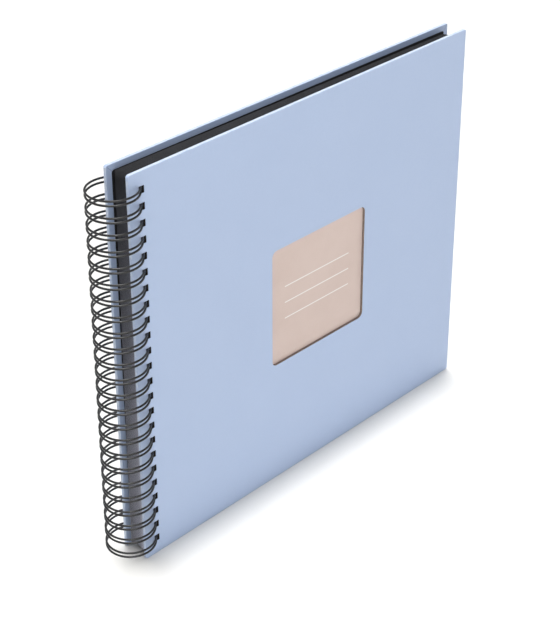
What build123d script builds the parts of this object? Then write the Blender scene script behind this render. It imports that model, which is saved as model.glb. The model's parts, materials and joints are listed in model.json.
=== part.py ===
"""Wire-bound scrapbook album, standing on its bottom edge.

+X runs from the wire to the fore edge, +Y from the front cover to the back cover and +Z up.
The origin is the middle of the footprint, on the surface that the album stands on.
Every leaf (a cover or a sheet) turns about the axis of the wire's loops, so each leaf is
described by its offset from that axis and by how far it leans over at the fore edge.
"""

import os
from math import asin, atan, cos, degrees, radians, sin, sqrt

from build123d import *

os.makedirs("parts", exist_ok=True)

# ---- Covers ----
cover_width = 360.0
cover_height = 320.0
cover_corner_radius = 2.0
board_thickness = 2.3
paper_thickness = 0.2
turn_in_width = 15.0
lining_border = 5.0
wrap_edge_radius = 0.5
wire_to_cover_edge = 3.25

# ---- Title window in the front cover ----
window_width = 105.0
window_height = 101.0
window_corner_radius = 5.0
window_shift_to_fore_edge = 9.5
window_drop = 3.5
card_thickness = 0.3
card_clearance = 0.15

# ---- Gap between the covers' inner faces ----
spine_gap = 19.0
fore_edge_gap = 15.6

# ---- Twin-loop wire ----
loop_radius = 18.5
wire_diameter = 1.6
loop_pitch = 12.7
leg_spacing = 3.4
bend_radius = 1.7
seam_gap = 0.4
shortest_end_margin = 13.5

# ---- Sheets ----
sheet_count = 25
sheet_thickness = 0.35
sheet_end_margin = 4.0
sheet_fore_margin = 6.75
sheet_hole_to_edge = 10.0

# ---- Clearances ----
hole_side_clearance = 0.4
hole_end_clearance = 0.3
sheet_hang_clearance = 0.3
leaf_clearance = 0.5
table_clearance = 0.3

# ---- Worked out from the values above ----
wire_radius = wire_diameter / 2
mid_height = cover_height / 2
cover_fore_reach = wire_to_cover_edge + cover_width
axis_x = -(cover_fore_reach - loop_radius - wire_radius) / 2
loop_axis = Axis((axis_x, 0, 0), (0, 0, 1))

inner_face = spine_gap / 2
board_face = inner_face + 2 * paper_thickness
outer_face = board_face + board_thickness + paper_thickness

loop_count = int((cover_height - 2 * shortest_end_margin) / loop_pitch) + 1
loop_span = (loop_count - 1) * loop_pitch
hole_heights = [index * loop_pitch - loop_span / 2 for index in range(loop_count)]

# The wire crosses a cover's thickness at a slant, between these two reaches from the axis.
wire_near_reach = sqrt((loop_radius - wire_radius) ** 2 - outer_face**2)
wire_far_reach = sqrt((loop_radius + wire_radius) ** 2 - inner_face**2)
hole_width = wire_far_reach - wire_near_reach + 2 * hole_side_clearance
hole_height = leg_spacing + wire_diameter + 2 * hole_end_clearance
cover_hole_reach = (wire_near_reach + wire_far_reach) / 2

# The wire's seam lies between the last sheet and the back cover.
seam_offset = inner_face - leaf_clearance - wire_radius
seam_reach = sqrt(loop_radius**2 + bend_radius**2)
bend_angle = degrees(atan(bend_radius / loop_radius))
seam_angle = degrees(asin(seam_offset / seam_reach))
leg_start_angle = seam_angle + bend_angle
tip_step = degrees((wire_diameter + seam_gap) / seam_reach)
leg_arc = 360 - tip_step - 2 * bend_angle

# The sheets share what the seam leaves of the gap, and close up towards the fore edge.
first_sheet_offset = -inner_face + leaf_clearance + sheet_thickness / 2
last_sheet_offset = seam_offset - wire_radius - leaf_clearance - sheet_thickness / 2
sheet_step = (last_sheet_offset - first_sheet_offset) / (sheet_count - 1)
sheet_height = cover_height - 2 * sheet_end_margin
sheet_width = cover_fore_reach - sheet_fore_margin - loop_radius + sheet_hole_to_edge
front_lean = degrees(atan((spine_gap - fore_edge_gap) / cover_width))
room_behind_sheets = inner_face - last_sheet_offset - sheet_thickness / 2 - leaf_clearance
last_sheet_lean = degrees(atan(room_behind_sheets / sheet_width))

# The sheets sag from the wire until the end holes bind, or until a fore corner nears the table.
hole_play = hole_width / 2 - wire_radius - sheet_hang_clearance
sag_by_holes = degrees(atan(hole_play / (loop_span / 2)))
sag_by_table = degrees(atan((sheet_end_margin - table_clearance) / (sheet_width - sheet_hole_to_edge)))
sheet_sag = min(sag_by_holes, sag_by_table)


def leaf_plane(offset, lean, facing, reach=0.0, sag=0.0):
    """Plane at mid height, offset from the wire's axis, with X along the leaf and Z facing front or back."""
    along_x = cos(radians(lean))
    along_y = sin(radians(lean))
    origin = (axis_x - along_y * offset + along_x * reach, along_x * offset + along_y * reach, mid_height)
    level = cos(radians(sag))
    return Plane(
        origin=origin,
        x_dir=(along_x * level, along_y * level, -sin(radians(sag))),
        z_dir=(-along_y * facing, along_x * facing, 0),
    )


def cover_outline(inset, radius, mode=Mode.ADD):
    """Outline of a cover, drawn back by an inset from all four edges."""
    with Locations((wire_to_cover_edge + cover_width / 2, 0)):
        RectangleRounded(cover_width - 2 * inset, cover_height - 2 * inset, radius, mode=mode)


def hole_row(reach, mode=Mode.SUBTRACT):
    """Row of rectangular holes that the wire's fingers pass through."""
    with Locations([(reach, height) for height in hole_heights]):
        Rectangle(hole_width, hole_height, mode=mode)


def window_outline(inset, mode=Mode.ADD):
    """Outline of the title window, drawn in by an inset all round."""
    centre_x = wire_to_cover_edge + cover_width / 2 + window_shift_to_fore_edge
    with Locations((centre_x, -window_drop)):
        RectangleRounded(
            window_width - 2 * inset, window_height - 2 * inset, window_corner_radius - inset, mode=mode
        )


def save(piece, name):
    """Label a finished piece and write it to the file of its name."""
    piece.part.label = name
    export_step(piece.part, f"parts/{name}.step")


def make_cover(side, facing, lean, has_window):
    """Board, wrap and lining of one cover. Facing is -1 at the front and 1 at the back."""
    lining_plane = leaf_plane(facing * inner_face, lean, facing)
    turn_in_plane = leaf_plane(facing * (inner_face + paper_thickness), lean, facing)
    board_plane = leaf_plane(facing * board_face, lean, facing)
    outer_plane = leaf_plane(facing * outer_face, lean, facing)

    # Greyboard core.
    with BuildPart() as board:
        with BuildSketch(board_plane):
            cover_outline(paper_thickness, cover_corner_radius - paper_thickness)
            hole_row(cover_hole_reach)
            if has_window:
                window_outline(0, mode=Mode.SUBTRACT)
        extrude(amount=board_thickness)
    save(board, f"{side}_cover_board")

    # Covering paper: outer face, four edges and the turn-in on the inner face.
    with BuildPart() as wrap:
        with BuildSketch(turn_in_plane):
            cover_outline(0, cover_corner_radius)
        extrude(amount=board_thickness + 2 * paper_thickness)
        outer_rim = wrap.faces().filter_by(lambda face: face.is_planar).sort_by(SortBy.AREA)[-2:]
        fillet(outer_rim.edges(), wrap_edge_radius)
        with BuildSketch(board_plane):
            cover_outline(paper_thickness, cover_corner_radius - paper_thickness)
        extrude(amount=board_thickness, mode=Mode.SUBTRACT)
        with BuildSketch(turn_in_plane):
            cover_outline(turn_in_width, cover_corner_radius)
        extrude(amount=paper_thickness, mode=Mode.SUBTRACT)
        with BuildSketch(outer_plane):
            hole_row(cover_hole_reach, mode=Mode.ADD)
            if has_window:
                window_outline(0)
        extrude(amount=-paper_thickness, mode=Mode.SUBTRACT)
        with BuildSketch(turn_in_plane):
            hole_row(cover_hole_reach, mode=Mode.ADD)
        extrude(amount=paper_thickness, mode=Mode.SUBTRACT)
    save(wrap, f"{side}_cover_wrap")

    # Lining sheet, lapped over the turn-in and pressed down onto the board inside it.
    with BuildPart() as lining:
        with BuildSketch(lining_plane):
            cover_outline(lining_border, cover_corner_radius)
            hole_row(cover_hole_reach)
            cover_outline(turn_in_width + paper_thickness, cover_corner_radius, mode=Mode.SUBTRACT)
        extrude(amount=paper_thickness)
        with BuildSketch(turn_in_plane):
            cover_outline(turn_in_width, cover_corner_radius)
            hole_row(cover_hole_reach)
        extrude(amount=paper_thickness)
    save(lining, f"{side}_cover_lining")


make_cover("front", -1, front_lean, has_window=True)
make_cover("back", 1, 0, has_window=False)

# Title card, glued to the lining inside the window.
with BuildPart() as window_card:
    with BuildSketch(leaf_plane(-board_face, front_lean, -1)):
        window_outline(card_clearance)
    extrude(amount=card_thickness)
save(window_card, "window_card")

# Sheets, numbered from the front.
for number in range(sheet_count):
    sheet_offset = first_sheet_offset + number * sheet_step
    sheet_lean = front_lean + (last_sheet_lean - front_lean) * number / (sheet_count - 1)
    sheet_hole_reach = sqrt(loop_radius**2 - sheet_offset**2)
    with BuildPart() as sheet:
        with BuildSketch(leaf_plane(sheet_offset, sheet_lean, 1, sheet_hole_reach, sheet_sag)):
            with Locations((sheet_width / 2 - sheet_hole_to_edge, 0)):
                Rectangle(sheet_width, sheet_height)
            hole_row(0)
        extrude(amount=sheet_thickness / 2, both=True)
    save(sheet, f"sheet_{number + 1:02d}")


def loop_section(angle, height):
    """Plane across the wire at an angle round the loop, with its X axis pointing out from the loop axis."""
    out_x = cos(radians(angle))
    out_y = sin(radians(angle))
    origin = (axis_x + loop_radius * out_x, loop_radius * out_y, height)
    return Plane(origin=origin, x_dir=(out_x, out_y, 0), z_dir=(-out_y, out_x, 0))


# Upper half of one finger and of the seam bar beside it, mirrored into the whole.
leg_height = leg_spacing / 2
leg_start = loop_section(leg_start_angle, leg_height)
leg_end = loop_section(leg_start_angle + leg_arc, leg_height)
base_bend = loop_section(leg_start_angle, leg_height + bend_radius)
tip_bend = loop_section(leg_start_angle + leg_arc, 0)
bar_start = base_bend.origin - base_bend.z_dir * bend_radius
bar_length = loop_pitch / 2 - leg_height - bend_radius

with BuildPart() as finger:
    with BuildSketch(leg_start):
        Circle(wire_radius)
    revolve(axis=loop_axis, revolution_arc=leg_arc)
    with BuildSketch(leg_end):
        Circle(wire_radius)
    revolve(axis=Axis(tip_bend.origin, -tip_bend.x_dir), revolution_arc=90)
    with BuildSketch(leg_start):
        Circle(wire_radius)
    revolve(axis=Axis(base_bend.origin, -base_bend.x_dir), revolution_arc=90)
    with BuildSketch(Plane(origin=bar_start, z_dir=(0, 0, 1))):
        Circle(wire_radius)
    extrude(amount=bar_length)
    mirror(about=Plane.XY)

# The whole comb: one length of wire, finger after finger.
with BuildPart() as binding_wire:
    with Locations([(0, 0, mid_height + height) for height in hole_heights]):
        add(finger.part)
save(binding_wire, "binding_wire")
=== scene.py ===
"""Finishes the wire-bound scrapbook album: papers, boards, sheets, twin-loop wire and a plain studio.

Everything is in metres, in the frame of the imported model: +X runs from the wire to the fore edge,
+Y from the front cover to the back cover and +Z up, with the album standing on Z = 0.
"""

import json
import math

import bpy
import numpy as np
from bpy.props import FloatProperty, FloatVectorProperty, IntProperty, PointerProperty
from bpy.types import Operator, Panel, PropertyGroup
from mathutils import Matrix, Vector


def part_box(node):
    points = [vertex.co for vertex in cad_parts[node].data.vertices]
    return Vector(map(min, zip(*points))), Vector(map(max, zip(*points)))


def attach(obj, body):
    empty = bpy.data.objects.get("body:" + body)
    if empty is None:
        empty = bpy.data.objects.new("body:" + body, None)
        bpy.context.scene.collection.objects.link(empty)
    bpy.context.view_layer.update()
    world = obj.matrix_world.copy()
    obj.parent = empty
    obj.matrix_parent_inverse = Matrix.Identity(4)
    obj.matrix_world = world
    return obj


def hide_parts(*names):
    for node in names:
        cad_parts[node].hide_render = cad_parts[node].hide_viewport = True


bl_info = {
    "name": "Scrapbook Album",
    "version": (1, 0, 0),
    "blender": (4, 5, 0),
    "location": "View3D > Sidebar > Album",
    "description": "Papers, sheets, twin-loop wire and studio for a wire-bound scrapbook album",
    "category": "Add Mesh",
}

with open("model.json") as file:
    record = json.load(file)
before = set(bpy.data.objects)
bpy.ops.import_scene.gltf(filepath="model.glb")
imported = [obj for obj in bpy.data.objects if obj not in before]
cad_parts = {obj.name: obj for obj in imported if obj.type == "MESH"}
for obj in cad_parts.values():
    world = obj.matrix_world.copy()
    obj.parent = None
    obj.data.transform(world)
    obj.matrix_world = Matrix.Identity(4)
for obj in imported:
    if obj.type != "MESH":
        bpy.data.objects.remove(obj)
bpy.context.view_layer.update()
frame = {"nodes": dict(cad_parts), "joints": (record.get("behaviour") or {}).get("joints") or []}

NODES = frame["nodes"]
MM = 0.001
COVERS = ("front_cover", "back_cover")
SHEETS = sorted(name for name in NODES if name.startswith("sheet_"))
FRONT_TURN = next(joint for joint in frame["joints"] if joint["name"] == "front_cover_turn")
WIRE_AXIS = np.array(FRONT_TURN["pos_m"])


def linear(hex_colour):
    """Linear RGBA of an sRGB hex colour: a straight part near black and a 2.4 power above it."""
    srgb = np.array([int(hex_colour[i : i + 2], 16) for i in (0, 2, 4)]) / 255
    rgb = np.where(srgb <= 0.04045, srgb / 12.92, ((srgb + 0.055) / 1.055) ** 2.4)
    return (*rgb.tolist(), 1.0)


def number(name, description, default, **settings):
    """A plain number property, zero or more unless its settings say otherwise."""
    return FloatProperty(name=name, description=description, default=default, **{"min": 0.0, **settings})


def length(name, description, default):
    """A length property in metres, shown to a hundredth of a millimetre."""
    return number(name, description, default, unit="LENGTH", precision=5)


def angle(name, description, degrees):
    """An angle property whose default is in degrees."""
    return number(name, description, math.radians(degrees), subtype="ANGLE")


def vector(name, description, default):
    """A property of three numbers along the axes: a place in metres or a direction."""
    return FloatVectorProperty(
        name=name, description=description, default=default, subtype="XYZ", precision=5
    )


def colour(name, description, hex_colour):
    """A colour property whose default is an sRGB hex colour."""
    default = linear(hex_colour)
    return FloatVectorProperty(
        name=name, description=description, default=default, size=4, min=0.0, max=1.0, subtype="COLOR"
    )


# ---- Settings ----


class CoverSettings(PropertyGroup):
    """Colours and small sizes of the two wrapped covers and the title card."""

    paper: colour("Cover paper", "Light blue of the covering paper", "B7C8E6")
    paper_fleck: colour("Paper fleck", "Slightly deeper blue between the paper's fibres", "ADC0E0")
    paper_worn: colour("Worn edge", "Pale tone where folded edges are rubbed", "DCE4F0")
    # Painted shade: a darker line on the lower flap beside the upper flap's edge at each inner corner.
    paper_lap_shade: colour("Lap seam", "Shaded line beside the paper's lap at an inner corner", "7F8FAF")
    turn_in: length("Turn-in", "Width of the paper turned in over the boards' inner faces", 15 * MM)
    board: colour("Greyboard", "Raw greyboard where it is cut", "9D8D84")
    board_ply: colour("Greyboard ply", "Darker plies in the cut greyboard", "7C6E66")
    # Painted shade: the greyboard in the wire's holes is painted near black for the shade inside them.
    board_hole_shade: colour("Painted hole shade", "Greyboard painted dark for the shade in the wire's holes", "232021")
    lining: colour("Lining", "Black uncoated lining paper", "1B1B1E")
    lining_fibre: colour("Lining fibre", "Greyer fibres in the lining paper", "2B2B2F")
    card: colour("Title card", "Beige pink card in the window", "DCC9C1")
    card_fleck: colour("Card fleck", "Deeper tone between the card's fibres", "D2BDB4")
    card_ink: colour("Card rules", "White writing rules on the card", "F6F3F0")
    rule_length: length("Rule length", "Length of a writing rule", 72 * MM)
    rule_width: length("Rule width", "Width of a writing rule", 0.9 * MM)
    rule_spacing: length("Rule spacing", "From one writing rule to the next", 14 * MM)


class SheetSettings(PropertyGroup):
    """Colours and sizes of the black sheets."""

    face: colour("Sheet", "Black uncoated card", "18181A")
    fibre: colour("Sheet fibre", "Greyer fibres in the card", "29292D")
    cut: colour("Cut edge", "Paler cut edge of the card", "1B1C1F")
    cut_fibre: colour("Cut edge fibre", "Palest fibres in the cut edge", "35373C")
    # Painted light: the sheets' spine edges are painted this paler grey low down, where more light falls on
    # them.
    cut_painted_light: colour("Painted light on spine edge", "Grey of the cut edge at the spine, low down", "B6B8C8")
    thickness: length("Thickness", "Thickness of one sheet", 0.35 * MM)
    hole_to_edge: length("Hole to edge", "From the middle of the holes to the spine edge", 10 * MM)
    hole_width: length("Hole width", "Width of a hole across the spine", 4.97 * MM)
    hole_height: length("Hole height", "Height of a hole along the spine", 5.6 * MM)
    bow: length("Bow", "How far the middle sheets bow out of flat", 1.0 * MM)
    ripple: length("Ripple", "How far each sheet ripples on its own", 0.04 * MM)


class WireSettings(PropertyGroup):
    """Sizes and colours of the twin-loop wire."""

    coating: colour("Coating", "Black nylon coating", "0F0F11")
    coating_rubbed: colour("Rubbed coating", "Greyer tone where the coating is rubbed", "212124")
    loops: IntProperty(name="Loops", description="Number of twin loops", default=24, min=1)
    loop_radius: length("Loop radius", "From the loops' axis to the middle of the wire", 18.5 * MM)
    wire_diameter: length("Wire diameter", "Diameter of the coated wire", 1.6 * MM)
    pitch: length("Pitch", "From one loop to the next", 12.7 * MM)
    leg_spacing: length("Leg spacing", "Between the two legs of a loop", 3.4 * MM)
    bend_radius: length("Bend radius", "Of the bends between a leg and the seam bar", 1.7 * MM)
    seam_offset: length("Seam offset", "From the loops' axis to the seam, towards the back", 8.2 * MM)
    seam_gap: length("Seam gap", "Between the loop tips and the seam bar", 0.4 * MM)


class StageSettings(PropertyGroup):
    """Floor, light and camera."""

    floor: colour("Floor", "White paper floor", "ECEBE8")
    floor_radius: length("Floor radius", "Radius of the round floor", 9.0)
    key_strength: number("Key", "Strength of the overhead light, in watts per square metre", 3.1)
    key_size: angle("Key size", "Angle that the overhead light covers", 8)
    key_from: vector("Key from", "Direction that the overhead light comes from", (0.045, 0.045, 1.0))
    fill_power: number("Fill", "Power of the softbox in front, in watts", 2.0, unit="POWER")
    fill_size: length("Fill size", "Side of the softbox", 0.7)
    fill_place: vector("Fill place", "Middle of the softbox", (-0.45, -0.75, 1.0))
    fill_from: vector("Fill from", "Direction that the softbox shines from", (-0.45, -0.7, 0.75))
    wall_light: number("Wall light", "Brightness of the white studio walls", 1.0)
    ceiling_light: number("Ceiling light", "Brightness of the dim ceiling", 0.27)
    focal_length: number("Focal length", "Lens of the camera, in millimetres", 97.41, min=1.0, unit="CAMERA")
    lens_shift: number("Lens shift", "Vertical shift of the lens", -0.0968, min=-1.0)
    camera_place: vector("Camera place", "Where the camera stands", (-0.80848, -0.76898, 0.81196))
    camera_way: vector("Camera way", "Direction that the camera looks in", (0.62907, 0.60727, -0.48527))


# ---- Meshes and materials ----


def add_piece(name, points, faces, body, materials, smooth=True):
    """Mesh object from an array of points and a list of faces, finished in materials and riding on a body."""
    mesh = bpy.data.meshes.new(name)
    mesh.from_pydata(points.tolist(), [], faces)
    mesh.polygons.foreach_set("use_smooth", np.full(len(mesh.polygons), smooth))
    for material in materials:
        mesh.materials.append(material)
    mesh.update()
    piece = bpy.data.objects.new(name, mesh)
    bpy.context.scene.collection.objects.link(piece)
    if body:
        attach(piece, body)
    return piece


def grid_faces(rows, columns, closed=False):
    """Quads between neighbouring points of a grid. A closed grid joins its last column to its first."""
    row = np.arange(rows - 1)[:, None]
    column = np.arange(columns if closed else columns - 1)[None, :]
    near = row * columns
    far = near + columns
    right = (column + 1) % columns
    return np.stack((near + column, near + right, far + right, far + column), axis=-1).reshape(-1, 4)


def new_material(name):
    """An empty node material with a Principled shader, as (material, tree, shader)."""
    material = bpy.data.materials.new(name)
    material.use_nodes = True
    tree = material.node_tree
    return material, tree, tree.nodes["Principled BSDF"]


def add_node(tree, kind, inputs=(), **settings):
    """Adds a shader node of a kind with its settings. Each input gets a value or a link from a socket.

    In a Mix of colours, input 0 is the share of the second colour, 6 and 7 are the colours, and the
    outcome is output 2.
    """
    node = tree.nodes.new(f"ShaderNode{kind}")
    for name, value in settings.items():
        setattr(node, name, value)
    for key, value in dict(inputs).items():
        if isinstance(value, bpy.types.NodeSocket):
            tree.links.new(value, node.inputs[key])
        else:
            node.inputs[key].default_value = value
    return node


def millimetres(tree, stretch=(1.0, 1.0, 1.0)):
    """Object coordinates in millimetres, each axis multiplied by its stretch."""
    place = add_node(tree, "TexCoord")
    scale = tuple(factor / MM for factor in stretch)
    return add_node(tree, "Mapping", {"Vector": place.outputs["Object"], "Scale": scale}).outputs["Vector"]


def box_mm(node_name):
    """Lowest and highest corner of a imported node, in millimetres."""
    return tuple(np.array(corner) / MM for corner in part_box(node_name))


def link_finish(tree, tint, gloss, relief):
    """Links the nodes of a finish to the shader: its colour, its roughness and its bump."""
    shader = tree.nodes["Principled BSDF"]
    tree.links.new(tint.outputs[2], shader.inputs["Base Color"])
    tree.links.new(gloss.outputs[0], shader.inputs["Roughness"])
    tree.links.new(relief.outputs[0], shader.inputs["Normal"])


def cover_finish(node_name, material):
    """Gives every material slot of a carried-over node the same finish."""
    slots = NODES[node_name].material_slots
    if not slots:
        NODES[node_name].data.materials.append(material)
    for slot in slots:
        slot.material = material


def edge_distances(tree, axes):
    """Distances in millimetres inwards from a cover's nearer upright edge and its nearer level edge."""
    low, high = box_mm("back_cover_wrap")
    middle = (low + high) / 2
    half = (high - low) / 2
    inward = []
    for axis in (0, 2):
        centred = add_node(tree, "Math", {0: axes.outputs[axis], 1: middle[axis]}, operation="SUBTRACT")
        reach = add_node(tree, "Math", {0: centred.outputs[0]}, operation="ABSOLUTE")
        distance = add_node(tree, "Math", {0: half[axis], 1: reach.outputs[0]}, operation="SUBTRACT")
        inward.append(distance.outputs[0])
    return inward


def corner_laps(tree, axes, inward, nearest, turn_in_mm):
    """Seam and step where one turned-in flap crosses the other along an inner corner's diagonal.

    The inner faces are those whose normal points back towards the middle of the album. The outcome is
    the share of the painted shade along the seam, and 1 where the upper flap lies. Lengths are in
    millimetres.
    """
    inner_below = -3.0
    seam_place = -0.2  # Just short of the diagonal, on the lower flap.
    seam_half_width = 0.4  # Wider than the 0.2 mm of the paper's edge, so that it shows.
    seam_core = 0.15
    step_half_width = 0.1

    facing = add_node(tree, "TexCoord")
    normal = add_node(tree, "SeparateXYZ", {0: facing.outputs["Normal"]})
    outwards = add_node(tree, "Math", {0: normal.outputs[1], 1: axes.outputs[1]}, operation="MULTIPLY")
    inner = add_node(tree, "Math", {0: outwards.outputs[0], 1: inner_below}, operation="LESS_THAN")
    turned_in = add_node(tree, "Math", {0: nearest, 1: turn_in_mm}, operation="LESS_THAN")
    flap = add_node(tree, "Math", {0: inner.outputs[0], 1: turned_in.outputs[0]}, operation="MULTIPLY")

    past_diagonal = add_node(tree, "Math", {0: inward[0], 1: inward[1]}, operation="SUBTRACT")
    lap = add_node(
        tree,
        "MapRange",
        {"Value": past_diagonal.outputs[0], "From Min": -step_half_width, "From Max": step_half_width},
    )
    step = add_node(tree, "Math", {0: lap.outputs[0], 1: flap.outputs[0]}, operation="MULTIPLY")
    off_seam = add_node(tree, "Math", {0: past_diagonal.outputs[0], 1: seam_place}, operation="SUBTRACT")
    distance = add_node(tree, "Math", {0: off_seam.outputs[0]}, operation="ABSOLUTE")
    line = add_node(
        tree,
        "MapRange",
        {"Value": distance.outputs[0], "From Min": seam_half_width, "From Max": seam_core, "To Max": 0.7},
    )
    # Painted shade along the seam, beside the upper flap's edge.
    seam = add_node(tree, "Math", {0: line.outputs[0], 1: flap.outputs[0]}, operation="MULTIPLY")
    return seam.outputs[0], step.outputs[0]


def laminated_paper(covers):
    """Matt laminated cover paper, printed in one colour, glued round the board.

    The film hides most of the fibre, so the eye gets an even, soft sheen with a faint cloudiness,
    and pale lines where the folded edges are rubbed.
    """
    cloud_mm = 38.0
    fibre_mm = 1.1  # Clumps of fibres: single ones are 0.02 mm thick and too fine to show.
    rub_mm = 5.0
    rub_waver_mm = 1.6
    corner_round_mm = 2.5
    film_relief = 0.02 * MM
    lap_relief = 10.0  # The paper's 0.2 mm, in units of the film's relief.

    material, tree, shader = new_material("laminated_cover_paper")
    mm = millimetres(tree)
    cloud = add_node(tree, "TexNoise", {"Vector": mm, "Scale": 1 / cloud_mm, "Detail": 3.0})
    fibre = add_node(
        tree, "TexNoise", {"Vector": mm, "Scale": 1 / fibre_mm, "Detail": 4.0, "Roughness": 0.65}
    )
    tone = add_node(
        tree, "Math", {0: cloud.outputs["Fac"], 1: 0.55, 2: fibre.outputs["Fac"]}, operation="MULTIPLY_ADD"
    )
    share = add_node(
        tree, "MapRange", {"Value": tone.outputs[0], "From Min": 0.45, "From Max": 1.1, "To Max": 0.55}
    )
    body = add_node(
        tree,
        "Mix",
        {0: share.outputs[0], 6: tuple(covers.paper), 7: tuple(covers.paper_fleck)},
        data_type="RGBA",
    )

    # Rubbed edges: an uneven line about half a millimetre wide.
    axes = add_node(tree, "SeparateXYZ", {0: mm})
    inward = edge_distances(tree, axes)
    nearest = add_node(tree, "Math", {0: inward[0], 1: inward[1], 2: corner_round_mm}, operation="SMOOTH_MIN")
    rub = add_node(tree, "TexNoise", {"Vector": mm, "Scale": 1 / rub_mm, "Detail": 5.0, "Roughness": 0.7})
    rub_reach = add_node(
        tree,
        "Math",
        {0: rub.outputs["Fac"], 1: -rub_waver_mm, 2: nearest.outputs[0]},
        operation="MULTIPLY_ADD",
    )
    worn = add_node(
        tree,
        "MapRange",
        {"Value": rub_reach.outputs[0], "From Min": -0.45, "From Max": -0.95, "To Max": 0.6},
        interpolation_type="SMOOTHSTEP",
    )
    edged = add_node(
        tree,
        "Mix",
        {0: worn.outputs[0], 6: body.outputs[2], 7: tuple(covers.paper_worn)},
        data_type="RGBA",
    )

    seam, lap = corner_laps(tree, axes, inward, nearest.outputs[0], covers.turn_in / MM)
    # Painted shade beside the laps at the inner corners.
    tint = add_node(
        tree, "Mix", {0: seam, 6: edged.outputs[2], 7: tuple(covers.paper_lap_shade)}, data_type="RGBA"
    )
    gloss = add_node(tree, "MapRange", {"Value": fibre.outputs["Fac"], "To Min": 0.46, "To Max": 0.58})
    height = add_node(
        tree, "Math", {0: lap, 1: lap_relief, 2: fibre.outputs["Fac"]}, operation="MULTIPLY_ADD"
    )
    relief = add_node(tree, "Bump", {"Height": height.outputs[0], "Strength": 0.35, "Distance": film_relief})
    link_finish(tree, tint, gloss, relief)
    shader.inputs["IOR"].default_value = 1.49
    return material


def greyboard(covers):
    """Greyboard pressed from recycled pulp and die-cut.

    The cut shows plies as fine streaks along the board, rough and quite dull. Near the wire only the
    holes cut through the board, and there it is painted near black: painted shade inside the narrow holes.
    """
    ply_mm = 0.3125
    streak_mm = 4.0
    pulp_mm = 0.35
    shaded_to = WIRE_AXIS[0] / MM + 19.5
    raw_from = shaded_to + 1.5

    material, tree, _ = new_material("die_cut_greyboard")
    along_plies = millimetres(tree, (1 / streak_mm, 1 / ply_mm, 1 / streak_mm))
    plies = add_node(tree, "TexNoise", {"Vector": along_plies, "Scale": 1.0, "Detail": 4.0, "Roughness": 0.6})
    mm = millimetres(tree)
    pulp = add_node(tree, "TexNoise", {"Vector": mm, "Scale": 1 / pulp_mm, "Detail": 3.0})
    streak = add_node(tree, "MapRange", {"Value": plies.outputs["Fac"], "From Min": 0.35, "From Max": 0.65})
    raw = add_node(
        tree,
        "Mix",
        {0: streak.outputs[0], 6: tuple(covers.board_ply), 7: tuple(covers.board)},
        data_type="RGBA",
    )
    axes = add_node(tree, "SeparateXYZ", {0: mm})
    # Painted shade: near black in the wire's holes, standing in for the shade inside them, fading out just
    # past their far side.
    hole_shade = add_node(
        tree,
        "MapRange",
        {"Value": axes.outputs[0], "From Min": raw_from, "From Max": shaded_to, "To Max": 0.92},
    )
    tint = add_node(
        tree,
        "Mix",
        {0: hole_shade.outputs[0], 6: raw.outputs[2], 7: tuple(covers.board_hole_shade)},
        data_type="RGBA",
    )
    gloss = add_node(tree, "MapRange", {"Value": pulp.outputs["Fac"], "To Min": 0.82, "To Max": 0.97})
    rough = add_node(tree, "Math", {0: plies.outputs["Fac"], 1: pulp.outputs["Fac"]}, operation="ADD")
    relief = add_node(tree, "Bump", {"Height": rough.outputs[0], "Strength": 0.7, "Distance": 0.08 * MM})
    link_finish(tree, tint, gloss, relief)
    return material


def uncoated_paper(name, base, fibre_tone, fibre_mm, relief_mm, share=1.0):
    """Uncoated paper or card, dyed in the pulp and calendered, as (material, tree, colour socket).

    Short fibres lie every way in it, so the eye gets a dull, slightly hairy tone with fine flecks.
    The hairs are the borders of cells two fibre sizes wide, bent by a slower noise. Real fibres are
    0.02 mm thick and too fine to show, so they are drawn coarser.
    """
    cell_mm = 2 * fibre_mm
    warp_mm = fibre_mm / 0.35
    cloud_mm = 24.0

    material, tree, _ = new_material(name)
    mm = millimetres(tree)
    warp = add_node(tree, "TexNoise", {"Vector": mm, "Scale": 1 / warp_mm, "Detail": 2.0})
    bent = add_node(
        tree,
        "VectorMath",
        {0: warp.outputs["Color"], 1: (2 * cell_mm,) * 3, 2: mm},
        operation="MULTIPLY_ADD",
    )
    hair = add_node(
        tree, "TexVoronoi", {"Vector": bent.outputs[0], "Scale": 1 / cell_mm}, feature="DISTANCE_TO_EDGE"
    )
    thread = add_node(
        tree,
        "MapRange",
        {"Value": hair.outputs["Distance"], "From Min": 0.09, "From Max": 0.0, "To Max": 0.75},
        interpolation_type="SMOOTHSTEP",
    )
    pulp = add_node(tree, "TexNoise", {"Vector": mm, "Scale": 1 / fibre_mm, "Detail": 5.0, "Roughness": 0.7})
    cloud = add_node(tree, "TexNoise", {"Vector": mm, "Scale": 1 / cloud_mm, "Detail": 2.0})
    patch = add_node(tree, "Math", {0: cloud.outputs["Fac"], 1: pulp.outputs["Fac"]}, operation="MULTIPLY")
    fleck = add_node(
        tree, "MapRange", {"Value": patch.outputs[0], "From Min": 0.15, "From Max": 0.4, "To Max": 0.6}
    )
    total = add_node(
        tree, "Math", {0: thread.outputs[0], 1: 0.4, 2: fleck.outputs[0]}, operation="MULTIPLY_ADD"
    )
    shown = add_node(tree, "Math", {0: total.outputs[0], 1: share}, operation="MULTIPLY", use_clamp=True)
    tint = add_node(tree, "Mix", {0: shown.outputs[0], 6: base, 7: fibre_tone}, data_type="RGBA")
    gloss = add_node(tree, "MapRange", {"Value": pulp.outputs["Fac"], "To Min": 0.74, "To Max": 0.9})
    relief = add_node(
        tree, "Bump", {"Height": total.outputs[0], "Strength": 0.5, "Distance": relief_mm * MM}
    )
    link_finish(tree, tint, gloss, relief)
    return material, tree, tint.outputs[2]


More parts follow.
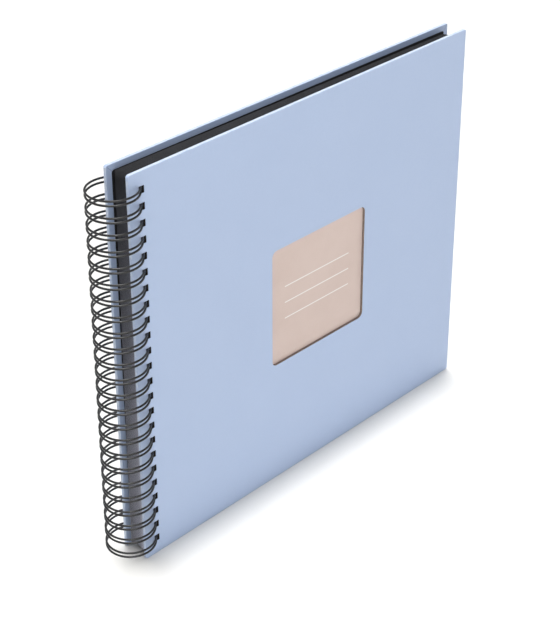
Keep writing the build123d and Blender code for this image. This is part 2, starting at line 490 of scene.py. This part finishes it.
def title_card(covers):
    """Uncoated card for a title, printed with three white writing rules.

    The ink lies flat on the dull card, so only its tone shows. A rule is drawn where the distance
    from its middle line is under half the rule's width.
    """
    half_length = covers.rule_length / 2 / MM
    half_width = covers.rule_width / 2 / MM
    spacing = covers.rule_spacing / MM
    ink_bleed = 0.1

    tones = tuple(covers.card), tuple(covers.card_fleck)
    material, tree, card = uncoated_paper(
        "uncoated_title_card", *tones, fibre_mm=0.5, relief_mm=0.02, share=0.8
    )
    middle = tuple(sum(box_mm("window_card")) / 2)
    centred = add_node(tree, "VectorMath", {0: millimetres(tree), 1: middle}, operation="SUBTRACT")
    axes = add_node(tree, "SeparateXYZ", {0: centred.outputs[0]})
    across = add_node(tree, "Math", {0: axes.outputs[0]}, operation="ABSOLUTE")
    beyond_end = add_node(tree, "Math", {0: across.outputs[0], 1: half_length}, operation="SUBTRACT")

    # Height from the nearest of the three rules: the middle one, or those above and below it.
    height = add_node(tree, "Math", {0: axes.outputs[2]}, operation="ABSOLUTE")
    from_outer = add_node(tree, "Math", {0: height.outputs[0], 1: spacing}, operation="SUBTRACT")
    outer = add_node(tree, "Math", {0: from_outer.outputs[0]}, operation="ABSOLUTE")
    nearest = add_node(tree, "Math", {0: height.outputs[0], 1: outer.outputs[0]}, operation="MINIMUM")
    distance = add_node(tree, "Math", {0: nearest.outputs[0], 1: beyond_end.outputs[0]}, operation="MAXIMUM")
    ink = add_node(
        tree,
        "MapRange",
        {
            "Value": distance.outputs[0],
            "From Min": half_width + ink_bleed,
            "From Max": half_width - ink_bleed,
            "To Max": 0.92,
        },
    )
    printed = add_node(tree, "Mix", {0: ink.outputs[0], 6: card, 7: tuple(covers.card_ink)}, data_type="RGBA")
    tree.links.new(printed.outputs[2], tree.nodes["Principled BSDF"].inputs["Base Color"])
    return material


def cut_card(sheets):
    """Cut edge of the black card, sheared by a guillotine.

    The torn ends of the fibres catch the light, so the stack's edge is a shade paler than its faces.
    Along the spine it is painted grey from the top downwards: painted light for the lower spine edge, which
    gets more light from the floor and the walls.
    """
    low, high = box_mm(SHEETS[0])
    fully_grey = low[2] + 0.25 * (high[2] - low[2])
    # Every sheet's spine edge lies short of the spine's reach, and every hole beyond its end.
    spine_reach = low[0] + 6.0
    spine_end = spine_reach + 1.0

    tones = tuple(sheets.cut), tuple(sheets.cut_fibre)
    material, tree, cut = uncoated_paper("cut_black_card", *tones, fibre_mm=0.3, relief_mm=0.05)
    axes = add_node(tree, "SeparateXYZ", {0: millimetres(tree)})
    # Painted light: the spine edge is painted paler grey from the top downwards, standing in for the light
    # that reaches it low down.
    lower = add_node(
        tree, "MapRange", {"Value": axes.outputs[2], "From Min": high[2], "From Max": fully_grey}
    )
    at_spine = add_node(
        tree, "MapRange", {"Value": axes.outputs[0], "From Min": spine_end, "From Max": spine_reach}
    )
    rubbed = add_node(tree, "Math", {0: lower.outputs[0], 1: at_spine.outputs[0]}, operation="MULTIPLY")
    tint = add_node(
        tree, "Mix", {0: rubbed.outputs[0], 6: cut, 7: tuple(sheets.cut_painted_light)}, data_type="RGBA"
    )
    tree.links.new(tint.outputs[2], tree.nodes["Principled BSDF"].inputs["Base Color"])
    return material


def nylon_coating(wire):
    """Steel wire dipped in black nylon.

    The coating levels out into a satin skin with a faint orange peel, a little greyer where it is rubbed.
    """
    peel_mm = 0.7
    rub_mm = 9.0

    material, tree, shader = new_material("nylon_coated_wire")
    mm = millimetres(tree)
    peel = add_node(tree, "TexNoise", {"Vector": mm, "Scale": 1 / peel_mm, "Detail": 2.0})
    rub = add_node(tree, "TexNoise", {"Vector": mm, "Scale": 1 / rub_mm, "Detail": 4.0, "Roughness": 0.7})
    rubbed = add_node(
        tree, "MapRange", {"Value": rub.outputs["Fac"], "From Min": 0.45, "From Max": 0.75, "To Max": 0.8}
    )
    tint = add_node(
        tree,
        "Mix",
        {0: rubbed.outputs[0], 6: tuple(wire.coating), 7: tuple(wire.coating_rubbed)},
        data_type="RGBA",
    )
    gloss = add_node(tree, "MapRange", {"Value": rub.outputs["Fac"], "To Min": 0.26, "To Max": 0.46})
    relief = add_node(tree, "Bump", {"Height": peel.outputs["Fac"], "Strength": 0.3, "Distance": 0.03 * MM})
    link_finish(tree, tint, gloss, relief)
    shader.inputs["IOR"].default_value = 1.53
    return material


# ---- Operators ----


class ALBUM_OT_cover_papers(Operator):
    """Finish the covering paper of both covers"""

    bl_idname = "album.cover_papers"
    bl_label = "Cover papers"

    def execute(self, context):
        paper = laminated_paper(context.scene.album_covers)
        for cover in COVERS:
            cover_finish(f"{cover}_wrap", paper)
        return {"FINISHED"}


class ALBUM_OT_cover_boards(Operator):
    """Finish the greyboard of both covers, which shows in the window and the holes"""

    bl_idname = "album.cover_boards"
    bl_label = "Cover boards"

    def execute(self, context):
        board = greyboard(context.scene.album_covers)
        for cover in COVERS:
            cover_finish(f"{cover}_board", board)
        return {"FINISHED"}


class ALBUM_OT_cover_linings(Operator):
    """Finish the black lining sheets inside both covers"""

    bl_idname = "album.cover_linings"
    bl_label = "Cover linings"

    def execute(self, context):
        covers = context.scene.album_covers
        tones = tuple(covers.lining), tuple(covers.lining_fibre)
        lining, _, _ = uncoated_paper("uncoated_lining_paper", *tones, fibre_mm=0.8, relief_mm=0.03)
        for cover in COVERS:
            cover_finish(f"{cover}_lining", lining)
        return {"FINISHED"}


class ALBUM_OT_title_card(Operator):
    """Finish the card in the front cover's window"""

    bl_idname = "album.title_card"
    bl_label = "Title card"

    def execute(self, context):
        cover_finish("window_card", title_card(context.scene.album_covers))
        return {"FINISHED"}


def wire_path(wire):
    """Middle line of one twin loop as five arrays: angle, slip, height, and the heading's two parts.

    A point lies on the loops' cylinder at its angle, moved by its slip along the tangent there and by
    its height along the axis. A loop starts with a quarter bend off the seam bar, runs round the
    cylinder, turns back in a half circle and returns the same way, mirrored about its middle height.
    """
    leg_height = wire.leg_spacing / 2
    seam_reach = math.hypot(wire.loop_radius, wire.bend_radius)
    bend_turn = math.atan2(wire.bend_radius, wire.loop_radius)
    first = math.asin(wire.seam_offset / seam_reach) + bend_turn
    last = first + 2 * math.pi - (wire.wire_diameter + wire.seam_gap) / seam_reach - 2 * bend_turn

    bend_points, leg_points, tip_points = 6, 65, 13
    bend = np.linspace(0, math.pi / 2, bend_points)
    leg = np.linspace(first, last, leg_points)[1:-1]
    tip = np.linspace(0, math.pi, tip_points)
    one, none = np.ones_like, np.zeros_like
    angle = np.concatenate([first * one(bend), leg, last * one(tip), leg[::-1], first * one(bend)])
    slip = np.concatenate(
        [
            -wire.bend_radius * np.cos(bend),
            none(leg),
            leg_height * np.sin(tip),
            none(leg),
            -wire.bend_radius * np.sin(bend),
        ]
    )
    height = np.concatenate(
        [
            -leg_height - wire.bend_radius * (1 - np.sin(bend)),
            -leg_height * one(leg),
            -leg_height * np.cos(tip),
            leg_height * one(leg),
            leg_height + wire.bend_radius * (1 - np.cos(bend)),
        ]
    )
    round_part = np.concatenate([np.sin(bend), one(leg), np.cos(tip), -one(leg), -np.cos(bend)])
    up_part = np.concatenate([np.cos(bend), none(leg), np.sin(tip), none(leg), np.sin(bend)])
    return angle, slip, height, round_part, up_part


class ALBUM_OT_twin_loop_wire(Operator):
    """Build the twin-loop wire: a round section carried along one path through every loop"""

    bl_idname = "album.twin_loop_wire"
    bl_label = "Twin-loop wire"

    def execute(self, context):
        wire = context.scene.album_wire
        angle, slip, height, round_part, up_part = wire_path(wire)
        middles = WIRE_AXIS[2] + wire.pitch * (np.arange(wire.loops) - (wire.loops - 1) / 2)
        height = (middles[:, None] + height).ravel()
        every_loop = (np.tile(values, wire.loops) for values in (angle, slip, round_part, up_part))
        angle, slip, round_part, up_part = every_loop

        # Half a seam bar beyond the first and last loop, upright and nipped off with a small chamfer.
        radius = wire.wire_diameter / 2
        chamfer = 0.2 * radius
        ends = middles[[0, -1]] + np.array([-wire.pitch / 2, wire.pitch / 2])

        height = np.concatenate([[ends[0], ends[0] + chamfer], height, [ends[1] - chamfer, ends[1]]])
        angle = np.pad(angle, 2, mode="edge")
        slip = np.pad(slip, 2, mode="edge")
        round_part = np.pad(round_part, 2, constant_values=0.0)
        up_part = np.pad(up_part, 2, constant_values=1.0)
        radii = np.full(len(height), radius)
        radii[[0, -1]] -= chamfer

        # Outward, tangent and upward directions at each point, and a ring square to the heading.
        zero = np.zeros_like(angle)
        outward = np.stack([np.cos(angle), np.sin(angle), zero], axis=1)
        tangent = np.stack([-np.sin(angle), np.cos(angle), zero], axis=1)
        upward = np.array([0.0, 0.0, 1.0])
        base = np.array([WIRE_AXIS[0], WIRE_AXIS[1], 0.0])
        path = base + wire.loop_radius * outward + slip[:, None] * tangent + height[:, None] * upward
        sideways = up_part[:, None] * tangent - round_part[:, None] * upward
        sides = 12
        turn = np.arange(sides) * 2 * math.pi / sides
        out_part, side_part = np.cos(turn)[None, :, None], np.sin(turn)[None, :, None]
        ring = out_part * outward[:, None] + side_part * sideways[:, None]
        tube = (path[:, None] + radii[:, None, None] * ring).reshape(-1, 3)
        points = np.concatenate([tube, path[[0, -1]]])

        edge = np.arange(sides)
        following = (edge + 1) % sides
        last_ring = len(tube) - sides
        first_middle = np.full(sides, len(tube))
        first_cap = np.stack([first_middle, following, edge], axis=1)
        last_cap = np.stack([first_middle + 1, last_ring + edge, last_ring + following], axis=1)
        faces = grid_faces(len(path), sides, closed=True).tolist() + first_cap.tolist() + last_cap.tolist()
        coating = nylon_coating(wire)
        piece = add_piece("twin_loop_wire", points, faces, "back_cover", [coating])
        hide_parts("binding_wire")
        return {"FINISHED"}


def sheet_corners(name):
    """Corners of a sheet's middle plane, spine top, fore top, spine bottom and fore bottom, and its normal.

    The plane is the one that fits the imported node's outermost points best, and the corners are the
    points on it that lie furthest along the four diagonals.
    """
    corner_share = 0.97
    mesh = NODES[name].data
    points = np.empty(len(mesh.vertices) * 3, np.float32)
    mesh.vertices.foreach_get("co", points)
    points = points.reshape(-1, 3).astype(float)
    low, high = points.min(0), points.max(0)
    reach = np.abs(points - (low + high) / 2) @ [1, 0, 1]
    points = points[reach > corner_share * np.abs(high - low) @ [0.5, 0, 0.5]]
    centre = points.mean(0)
    normal = np.linalg.svd(points - centre, full_matrices=False)[2][2]
    normal *= np.sign(normal[1])
    points -= ((points - centre) @ normal)[:, None] * normal
    diagonals = ((-1, 0, 1), (1, 0, 1), (-1, 0, -1), (1, 0, -1))
    return [points[np.argmax(points @ diagonal)] for diagonal in diagonals], normal


class ALBUM_OT_sheets(Operator):
    """Build the black sheets: one surface each, with its row of holes, bowed a little out of flat"""

    bl_idname = "album.sheets"
    bl_label = "Sheets"

    def execute(self, context):
        sheets = context.scene.album_sheets
        wire = context.scene.album_wire
        tones = tuple(sheets.face), tuple(sheets.fibre)
        face, _, _ = uncoated_paper("uncoated_black_card", *tones, fibre_mm=0.7, relief_mm=0.03)
        cut = cut_card(sheets)
        for number, name in enumerate(SHEETS):
            points, faces = self.surface(sheets, wire, name, number / (len(SHEETS) - 1))
            piece = add_piece(f"album_{name}", points, faces, name, [face, cut])
            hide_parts(name)
            wall = piece.modifiers.new("Card thickness", "SOLIDIFY")
            wall.thickness = sheets.thickness
            wall.offset = 0.0
            wall.material_offset_rim = 1
        return {"FINISHED"}

    @staticmethod
    def surface(sheets, wire, name, depth):
        """Grid between the sheet's four corners, without the cells of its holes.

        A point moves off the flat sheet by the bow, which is none at the holes and at both outer
        sheets of the stack, plus a small ripple that differs from sheet to sheet. The bow is a soft
        swell, fullest about two fifths of the way across and a third of the way up.
        """
        columns_past_holes = 18
        stiff_share = 0.3
        waves_across, waves_up = 2.3, 1.7
        phase_through_stack = 40
        (spine_top, fore_top, spine_bottom, fore_bottom), normal = sheet_corners(name)
        width = np.linalg.norm(fore_top - spine_top)
        height = np.linalg.norm(spine_top - spine_bottom)
        hole_left = sheets.hole_to_edge - sheets.hole_width / 2
        hole_right = hole_left + sheets.hole_width
        middles = wire.pitch * (np.arange(wire.loops) - (wire.loops - 1) / 2)
        edges = np.stack([middles - sheets.hole_height / 2, middles + sheets.hole_height / 2], axis=1)
        up = np.concatenate([[-height / 2], edges.ravel(), [height / 2]]) + height / 2
        past_holes = np.linspace(hole_right, width, columns_past_holes + 1)[1:]
        along = np.concatenate([[0, hole_left, hole_right], past_holes])

        across, rise = np.meshgrid(along / width, up / height)
        share_across, share_up = across[..., None], rise[..., None]
        spine = (1 - share_up) * spine_bottom + share_up * spine_top
        fore = (1 - share_up) * fore_bottom + share_up * fore_top
        flat = (1 - share_across) * spine + share_across * fore
        eased = np.clip((across * width - hole_right) / (stiff_share * width), 0, 1)
        free = eased * eased * (3 - 2 * eased)
        wave = np.cos(math.pi * (1.15 * across - 0.45)) * np.cos(math.pi * (0.9 * rise - 0.3))
        sweep = 0.55 + 0.45 * wave
        bow = sheets.bow * math.sin(math.pi * depth) * sweep
        phase = 2 * math.pi * (waves_across * across + waves_up * rise) + phase_through_stack * depth
        ripple = sheets.ripple * np.sin(phase)
        points = flat + (free * (bow + ripple))[..., None] * normal

        rows, columns = len(up), len(along)
        faces = grid_faces(rows, columns)
        row, column = np.divmod(np.arange(len(faces)), columns - 1)
        hole = (column == 1) & (row % 2 == 1)
        return points.reshape(-1, 3), faces[~hole].tolist()


class ALBUM_OT_stage(Operator):
    """Lay the floor and set the lights and the camera"""

    bl_idname = "album.stage"
    bl_label = "Stage"

    def execute(self, context):
        settings = context.scene.album_stage
        self.lay_floor(settings)
        self.set_lights(context, settings)
        self.light_room(context, settings)
        self.set_camera(context, settings)
        context.scene.view_settings.view_transform = "Standard"
        return {"FINISHED"}

    @staticmethod
    def lay_floor(settings):
        """Round floor: rings of points whose radius grows with the square of the ring's number."""
        rings, spokes = 12, 64
        tooth_mm = 3.0
        reach = settings.floor_radius * (np.arange(1, rings + 1) / rings) ** 2
        turn = np.arange(spokes) * 2 * math.pi / spokes
        x, y = reach[:, None] * np.cos(turn), reach[:, None] * np.sin(turn)
        points = np.stack([x, y, np.zeros_like(x)], axis=-1).reshape(-1, 3)
        points = np.concatenate([points, np.zeros((1, 3))])
        spoke = np.arange(spokes)
        middle = np.stack([np.full(spokes, len(points) - 1), spoke, (spoke + 1) % spokes], axis=1)
        faces = grid_faces(rings, spokes, closed=True)[:, ::-1].tolist() + middle.tolist()

        material, tree, shader = new_material("white_paper_floor")
        mm = millimetres(tree)
        tooth = add_node(tree, "TexNoise", {"Vector": mm, "Scale": 1 / tooth_mm, "Detail": 3.0})
        gloss = add_node(tree, "MapRange", {"Value": tooth.outputs["Fac"], "To Min": 0.85, "To Max": 0.95})
        tree.links.new(gloss.outputs[0], shader.inputs["Roughness"])
        shader.inputs["Base Color"].default_value = settings.floor
        shader.inputs["Specular IOR Level"].default_value = 0.2
        add_piece("floor", points, faces, None, [material], smooth=False)

    @staticmethod
    def set_lights(context, settings):
        """A round light overhead and a little behind, and a softbox in front."""
        lamp = bpy.data.lights.new("overhead_key", "SUN")
        lamp.energy = settings.key_strength
        lamp.angle = settings.key_size
        softbox = bpy.data.lights.new("front_softbox", "AREA")
        softbox.energy = settings.fill_power
        softbox.size = settings.fill_size
        key = bpy.data.objects.new("overhead_key", lamp)
        fill = bpy.data.objects.new("front_softbox", softbox)
        fill.location = settings.fill_place
        for light, shines_from in ((key, settings.key_from), (fill, settings.fill_from)):
            light.rotation_mode = "QUATERNION"
            light.rotation_quaternion = Vector(shines_from).to_track_quat("Z", "Y")
            context.scene.collection.objects.link(light)

        # Straight below it the stacked loops would throw a dark disc, so the wire doesn't block it.
        blockers = bpy.data.collections.new("key_blockers")
        blockers.objects.link(bpy.data.objects["twin_loop_wire"])
        blockers.collection_objects[0].light_linking.link_state = "EXCLUDE"
        key.light_linking.blocker_collection = blockers

    @staticmethod
    def light_room(context, settings):
        """A room with white walls and a dim ceiling. Heights are the sine of the angle above the floor."""
        wall_top, ceiling_edge = 0.1, 0.5
        world = bpy.data.worlds.new("studio")
        world.use_nodes = True
        tree = world.node_tree
        way = add_node(tree, "TexCoord")
        height = add_node(tree, "SeparateXYZ", {0: way.outputs["Generated"]})
        light = add_node(
            tree,
            "MapRange",
            {
                "Value": height.outputs[2],
                "From Min": wall_top,
                "From Max": ceiling_edge,
                "To Min": settings.wall_light,
                "To Max": settings.ceiling_light,
            },
            interpolation_type="SMOOTHSTEP",
        )
        background = tree.nodes["Background"]
        tree.links.new(light.outputs[0], background.inputs["Strength"])
        background.inputs["Color"].default_value = (1.0, 1.0, 1.0, 1.0)
        context.scene.world = world

    @staticmethod
    def set_camera(context, settings):
        """A long lens from the front left, above the album."""
        lens = bpy.data.cameras.new("camera")
        lens.sensor_width = 36.0
        lens.sensor_fit = "AUTO"
        lens.lens = settings.focal_length
        lens.shift_y = settings.lens_shift
        camera = bpy.data.objects.new("camera", lens)
        camera.location = settings.camera_place
        camera.rotation_mode = "QUATERNION"
        camera.rotation_quaternion = Vector(settings.camera_way).to_track_quat("-Z", "Y")
        context.scene.collection.objects.link(camera)
        context.scene.camera = camera


class ALBUM_PT_sidebar(Panel):
    """Lists the album's settings and the steps that build it"""

    bl_idname = "ALBUM_PT_sidebar"
    bl_label = "Scrapbook Album"
    bl_space_type = "VIEW_3D"
    bl_region_type = "UI"
    bl_category = "Album"

    def draw(self, context):
        layout = self.layout
        for name in SETTINGS:
            box = layout.box()
            settings = getattr(context.scene, name)
            for key in settings.__annotations__:
                box.prop(settings, key)
        for step in STEPS:
            layout.operator(step.bl_idname)


SETTINGS = {
    "album_covers": CoverSettings,
    "album_sheets": SheetSettings,
    "album_wire": WireSettings,
    "album_stage": StageSettings,
}
STEPS = (
    ALBUM_OT_cover_papers,
    ALBUM_OT_cover_boards,
    ALBUM_OT_cover_linings,
    ALBUM_OT_title_card,
    ALBUM_OT_twin_loop_wire,
    ALBUM_OT_sheets,
    ALBUM_OT_stage,
)
CLASSES = (*SETTINGS.values(), *STEPS, ALBUM_PT_sidebar)


def register():
    for cls in CLASSES:
        bpy.utils.register_class(cls)
    for name, cls in SETTINGS.items():
        setattr(bpy.types.Scene, name, PointerProperty(type=cls))


def unregister():
    for name in SETTINGS:
        delattr(bpy.types.Scene, name)
    for cls in reversed(CLASSES):
        bpy.utils.unregister_class(cls)


def main():
    """Runs every step in order."""
    register()
    for step in STEPS:
        group, name = step.bl_idname.split(".")
        getattr(getattr(bpy.ops, group), name)()


if __name__ == "__main__":
    main()
